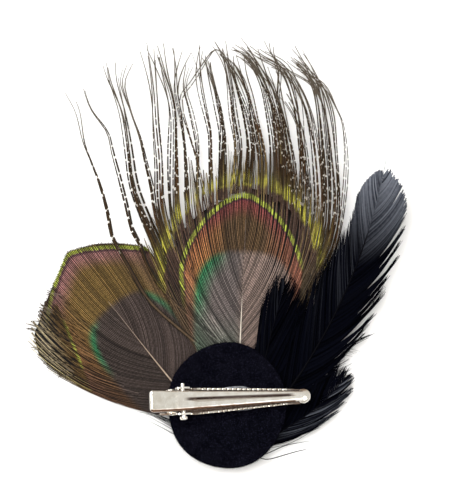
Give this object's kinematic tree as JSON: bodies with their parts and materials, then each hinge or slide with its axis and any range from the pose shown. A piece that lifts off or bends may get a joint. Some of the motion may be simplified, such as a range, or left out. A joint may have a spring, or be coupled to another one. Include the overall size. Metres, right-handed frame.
{
  "type": "feather hair clip",
  "caption": "Hair clip of peacock eye feathers and black feathers glued between felt rounds, with a sprung metal alligator clip on the back.",
  "frame": {"origin": "centre of the flat face of the front felt pad, on the surface that the piece lies on", "axes": "+X along the metal clip to its nose, +Y up the tall eye feather, +Z out of the side that carries the clip"},
  "size_m": [0.1443, 0.1602, 0.016],
  "materials": {
    "black_felt": "matte",
    "peacock_feather": "silky",
    "black_feather": "glossy",
    "plated_steel": "bright",
    "spring_wire": "satin",
    "clear_glue": "glossy"
  },
  "bodies": {
    "base": {"backing_disc": "black_felt", "front_pad": "black_felt", "eye_feather_tall": "peacock_feather", "eye_feather_side": "peacock_feather", "black_feather_long": "black_feather", "black_feather_short": "black_feather", "black_feather_low": "black_feather", "clip_base": "plated_steel", "clip_pin": "plated_steel", "clip_spring": "spring_wire", "glue_bead": "clear_glue"},
    "lever": {"clip_lever": "plated_steel"}
  },
  "joints": [
    {"name": "lever_hinge", "type": "hinge", "parent": "base", "child": "lever", "pos_m": [-0.01598, 0.00088, 0.0099], "axis": [0.0506, -0.9987, 0], "range_deg": [0, 30], "stiffness_Nm_per_rad": 0.08, "springref_deg": -45.84, "deforming": ["clip_spring"]}
  ]
}
